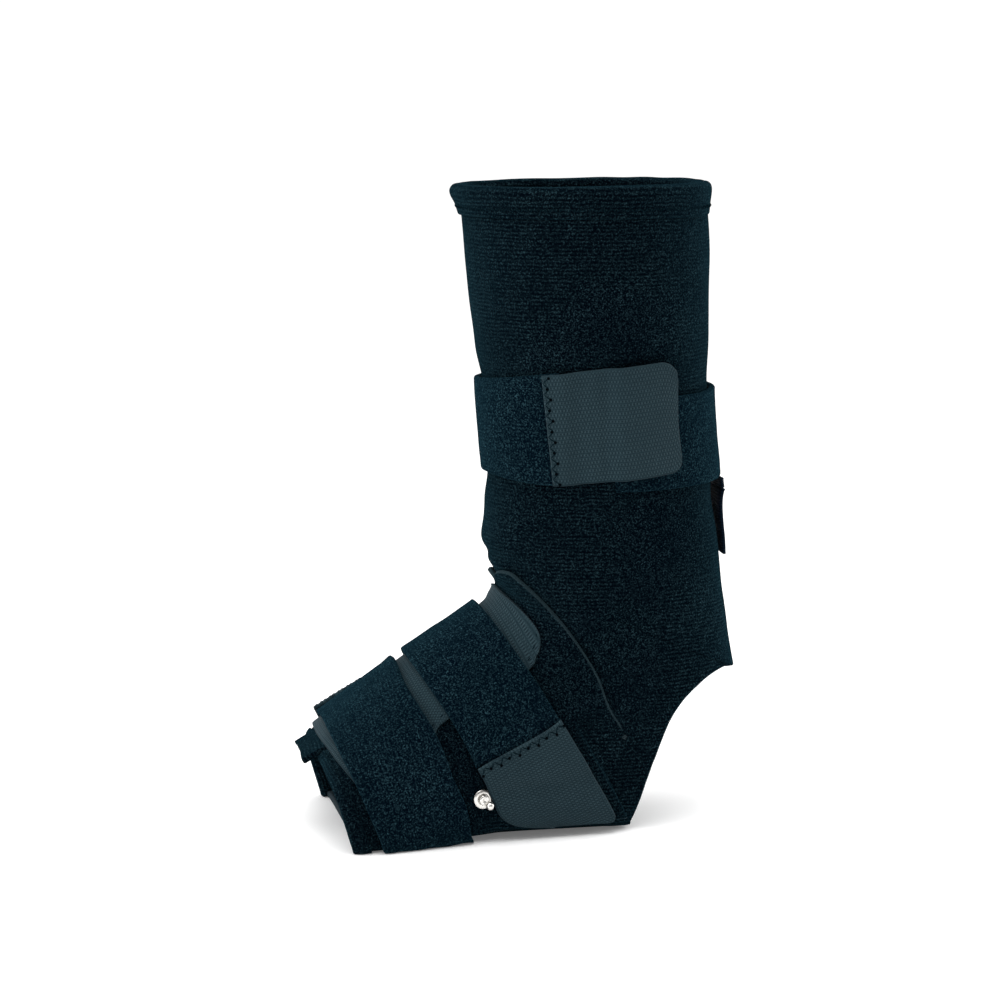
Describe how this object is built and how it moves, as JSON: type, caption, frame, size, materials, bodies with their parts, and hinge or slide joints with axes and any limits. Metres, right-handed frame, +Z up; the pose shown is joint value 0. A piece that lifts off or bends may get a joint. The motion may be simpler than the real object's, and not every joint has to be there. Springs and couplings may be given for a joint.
{
  "type": "ankle foot orthosis",
  "caption": "Soft ankle brace of loop-faced foam laminate, open at toes and heel, with side stays and peelable hook straps round the foot and calf.",
  "frame": {"origin": "centre of the sole underside, on the floor", "axes": "+Z up the shank, -X toward the toes, +X toward the heel, -Y toward the inner side of a right foot"},
  "size_m": [0.1836, 0.103, 0.2624],
  "materials": {
    "laminate": "brushed loop pile over foam, matt",
    "binding": "fine dark weave, matt",
    "hook_tape": "ribbed woven tape, matt",
    "nickel": "satin nickel",
    "stay_alloy": "satin",
    "webbing": "ribbed webbing, matt",
    "liner": "smooth knit liner, matt"
  },
  "bodies": {
    "foot": {"foot_sleeve": "laminate", "sole": "binding", "insole": "liner", "medial_flap": "laminate", "lateral_flap": "laminate", "toe_binding": "binding", "toe_lip": "laminate", "hook_panel": "hook_tape", "snap_washer": "nickel", "snap_stud": "nickel", "snap_ball": "nickel", "forefoot_strap_root": "laminate", "midfoot_strap_root": "laminate"},
    "forefoot_a": {"forefoot_strap_1": "laminate"},
    "forefoot_b": {"forefoot_strap_2": "laminate"},
    "forefoot_end": {"forefoot_tab": "hook_tape"},
    "midfoot_a": {"midfoot_strap_1": "laminate"},
    "midfoot_b": {"midfoot_strap_2": "laminate"},
    "midfoot_end": {"midfoot_tab": "hook_tape"},
    "shank": {"shank_sleeve": "laminate", "top_hem": "laminate", "medial_pocket": "binding", "lateral_pocket": "binding", "medial_stay": "stay_alloy", "lateral_stay": "stay_alloy", "calf_strap_root": "laminate", "pull_anchor": "webbing"},
    "calf_a": {"calf_strap_1": "laminate"},
    "calf_b": {"calf_strap_2": "laminate"},
    "calf_c": {"calf_strap_3": "laminate"},
    "calf_d": {"calf_strap_4": "laminate"},
    "calf_end": {"calf_tab": "hook_tape"},
    "pull": {"pull_tab": "webbing"}
  },
  "joints": [
    {"name": "ankle_flex", "type": "hinge", "parent": "foot", "child": "shank", "pos_m": [0.0545, 0, 0.0705], "axis": [0, 1, 0], "range_deg": [-8, 15], "stiffness_Nm_per_rad": 1},
    {"name": "forefoot_peel_1", "type": "hinge", "parent": "foot", "child": "forefoot_a", "pos_m": [-0.04013, -0.04612, 0.03136], "axis": [0.9403, 0.1071, 0.323], "range_deg": [0, 34]},
    {"name": "forefoot_peel_2", "type": "hinge", "parent": "forefoot_a", "child": "forefoot_b", "pos_m": [-0.05303, -0.01623, 0.05234], "axis": [0.8086, 0.0295, 0.5876], "range_deg": [0, 34]},
    {"name": "forefoot_peel_3", "type": "hinge", "parent": "forefoot_b", "child": "forefoot_end", "pos_m": [-0.05002, 0.03253, 0.04823], "axis": [0.853, -0.0766, 0.5162], "range_deg": [0, 102]},
    {"name": "midfoot_peel_1", "type": "hinge", "parent": "foot", "child": "midfoot_a", "pos_m": [0.00304, 0.0422, 0.05155], "axis": [-0.9377, 0.0972, -0.3335], "range_deg": [0, 34]},
    {"name": "midfoot_peel_2", "type": "hinge", "parent": "midfoot_a", "child": "midfoot_b", "pos_m": [-0.01568, 0.01143, 0.08074], "axis": [-0.8434, 0.0299, -0.5365], "range_deg": [0, 34]},
    {"name": "midfoot_peel_3", "type": "hinge", "parent": "midfoot_b", "child": "midfoot_end", "pos_m": [0.00836, -0.04317, 0.04157], "axis": [-0.9585, -0.0515, -0.2805], "range_deg": [0, 102]},
    {"name": "calf_peel_1", "type": "hinge", "parent": "shank", "child": "calf_a", "pos_m": [0.09885, 0.00798, 0.16619], "axis": [0.0542, -0.006, -0.9985], "range_deg": [0, 30]},
    {"name": "calf_peel_2", "type": "hinge", "parent": "calf_a", "child": "calf_b", "pos_m": [0.07141, 0.03766, 0.16575], "axis": [0.0705, -0.0771, -0.9945], "range_deg": [0, 30]},
    {"name": "calf_peel_3", "type": "hinge", "parent": "calf_b", "child": "calf_c", "pos_m": [0.02178, 0.03542, 0.16532], "axis": [0.0525, -0.0691, -0.9962], "range_deg": [0, 30]},
    {"name": "calf_peel_4", "type": "hinge", "parent": "calf_c", "child": "calf_d", "pos_m": [-0.00111, 0, 0.16524], "axis": [0.0669, 0, -0.9978], "range_deg": [0, 30]},
    {"name": "calf_peel_5", "type": "hinge", "parent": "calf_d", "child": "calf_end", "pos_m": [0.02239, -0.03802, 0.16515], "axis": [0.0538, 0.0703, -0.9961], "range_deg": [0, 90]},
    {"name": "pull_tab_lift", "type": "hinge", "parent": "shank", "child": "pull", "pos_m": [0.1018, 0, 0.1366], "axis": [0, -1, 0], "range_deg": [0, 80]}
  ],
  "couplings": [
    {"joint": "forefoot_peel_2", "follows": "forefoot_peel_1", "ratio": 1},
    {"joint": "forefoot_peel_3", "follows": "forefoot_peel_1", "ratio": 3},
    {"joint": "midfoot_peel_2", "follows": "midfoot_peel_1", "ratio": 1},
    {"joint": "midfoot_peel_3", "follows": "midfoot_peel_1", "ratio": 3},
    {"joint": "calf_peel_2", "follows": "calf_peel_1", "ratio": 1},
    {"joint": "calf_peel_3", "follows": "calf_peel_1", "ratio": 1},
    {"joint": "calf_peel_4", "follows": "calf_peel_1", "ratio": 1},
    {"joint": "calf_peel_5", "follows": "calf_peel_1", "ratio": 3}
  ]
}
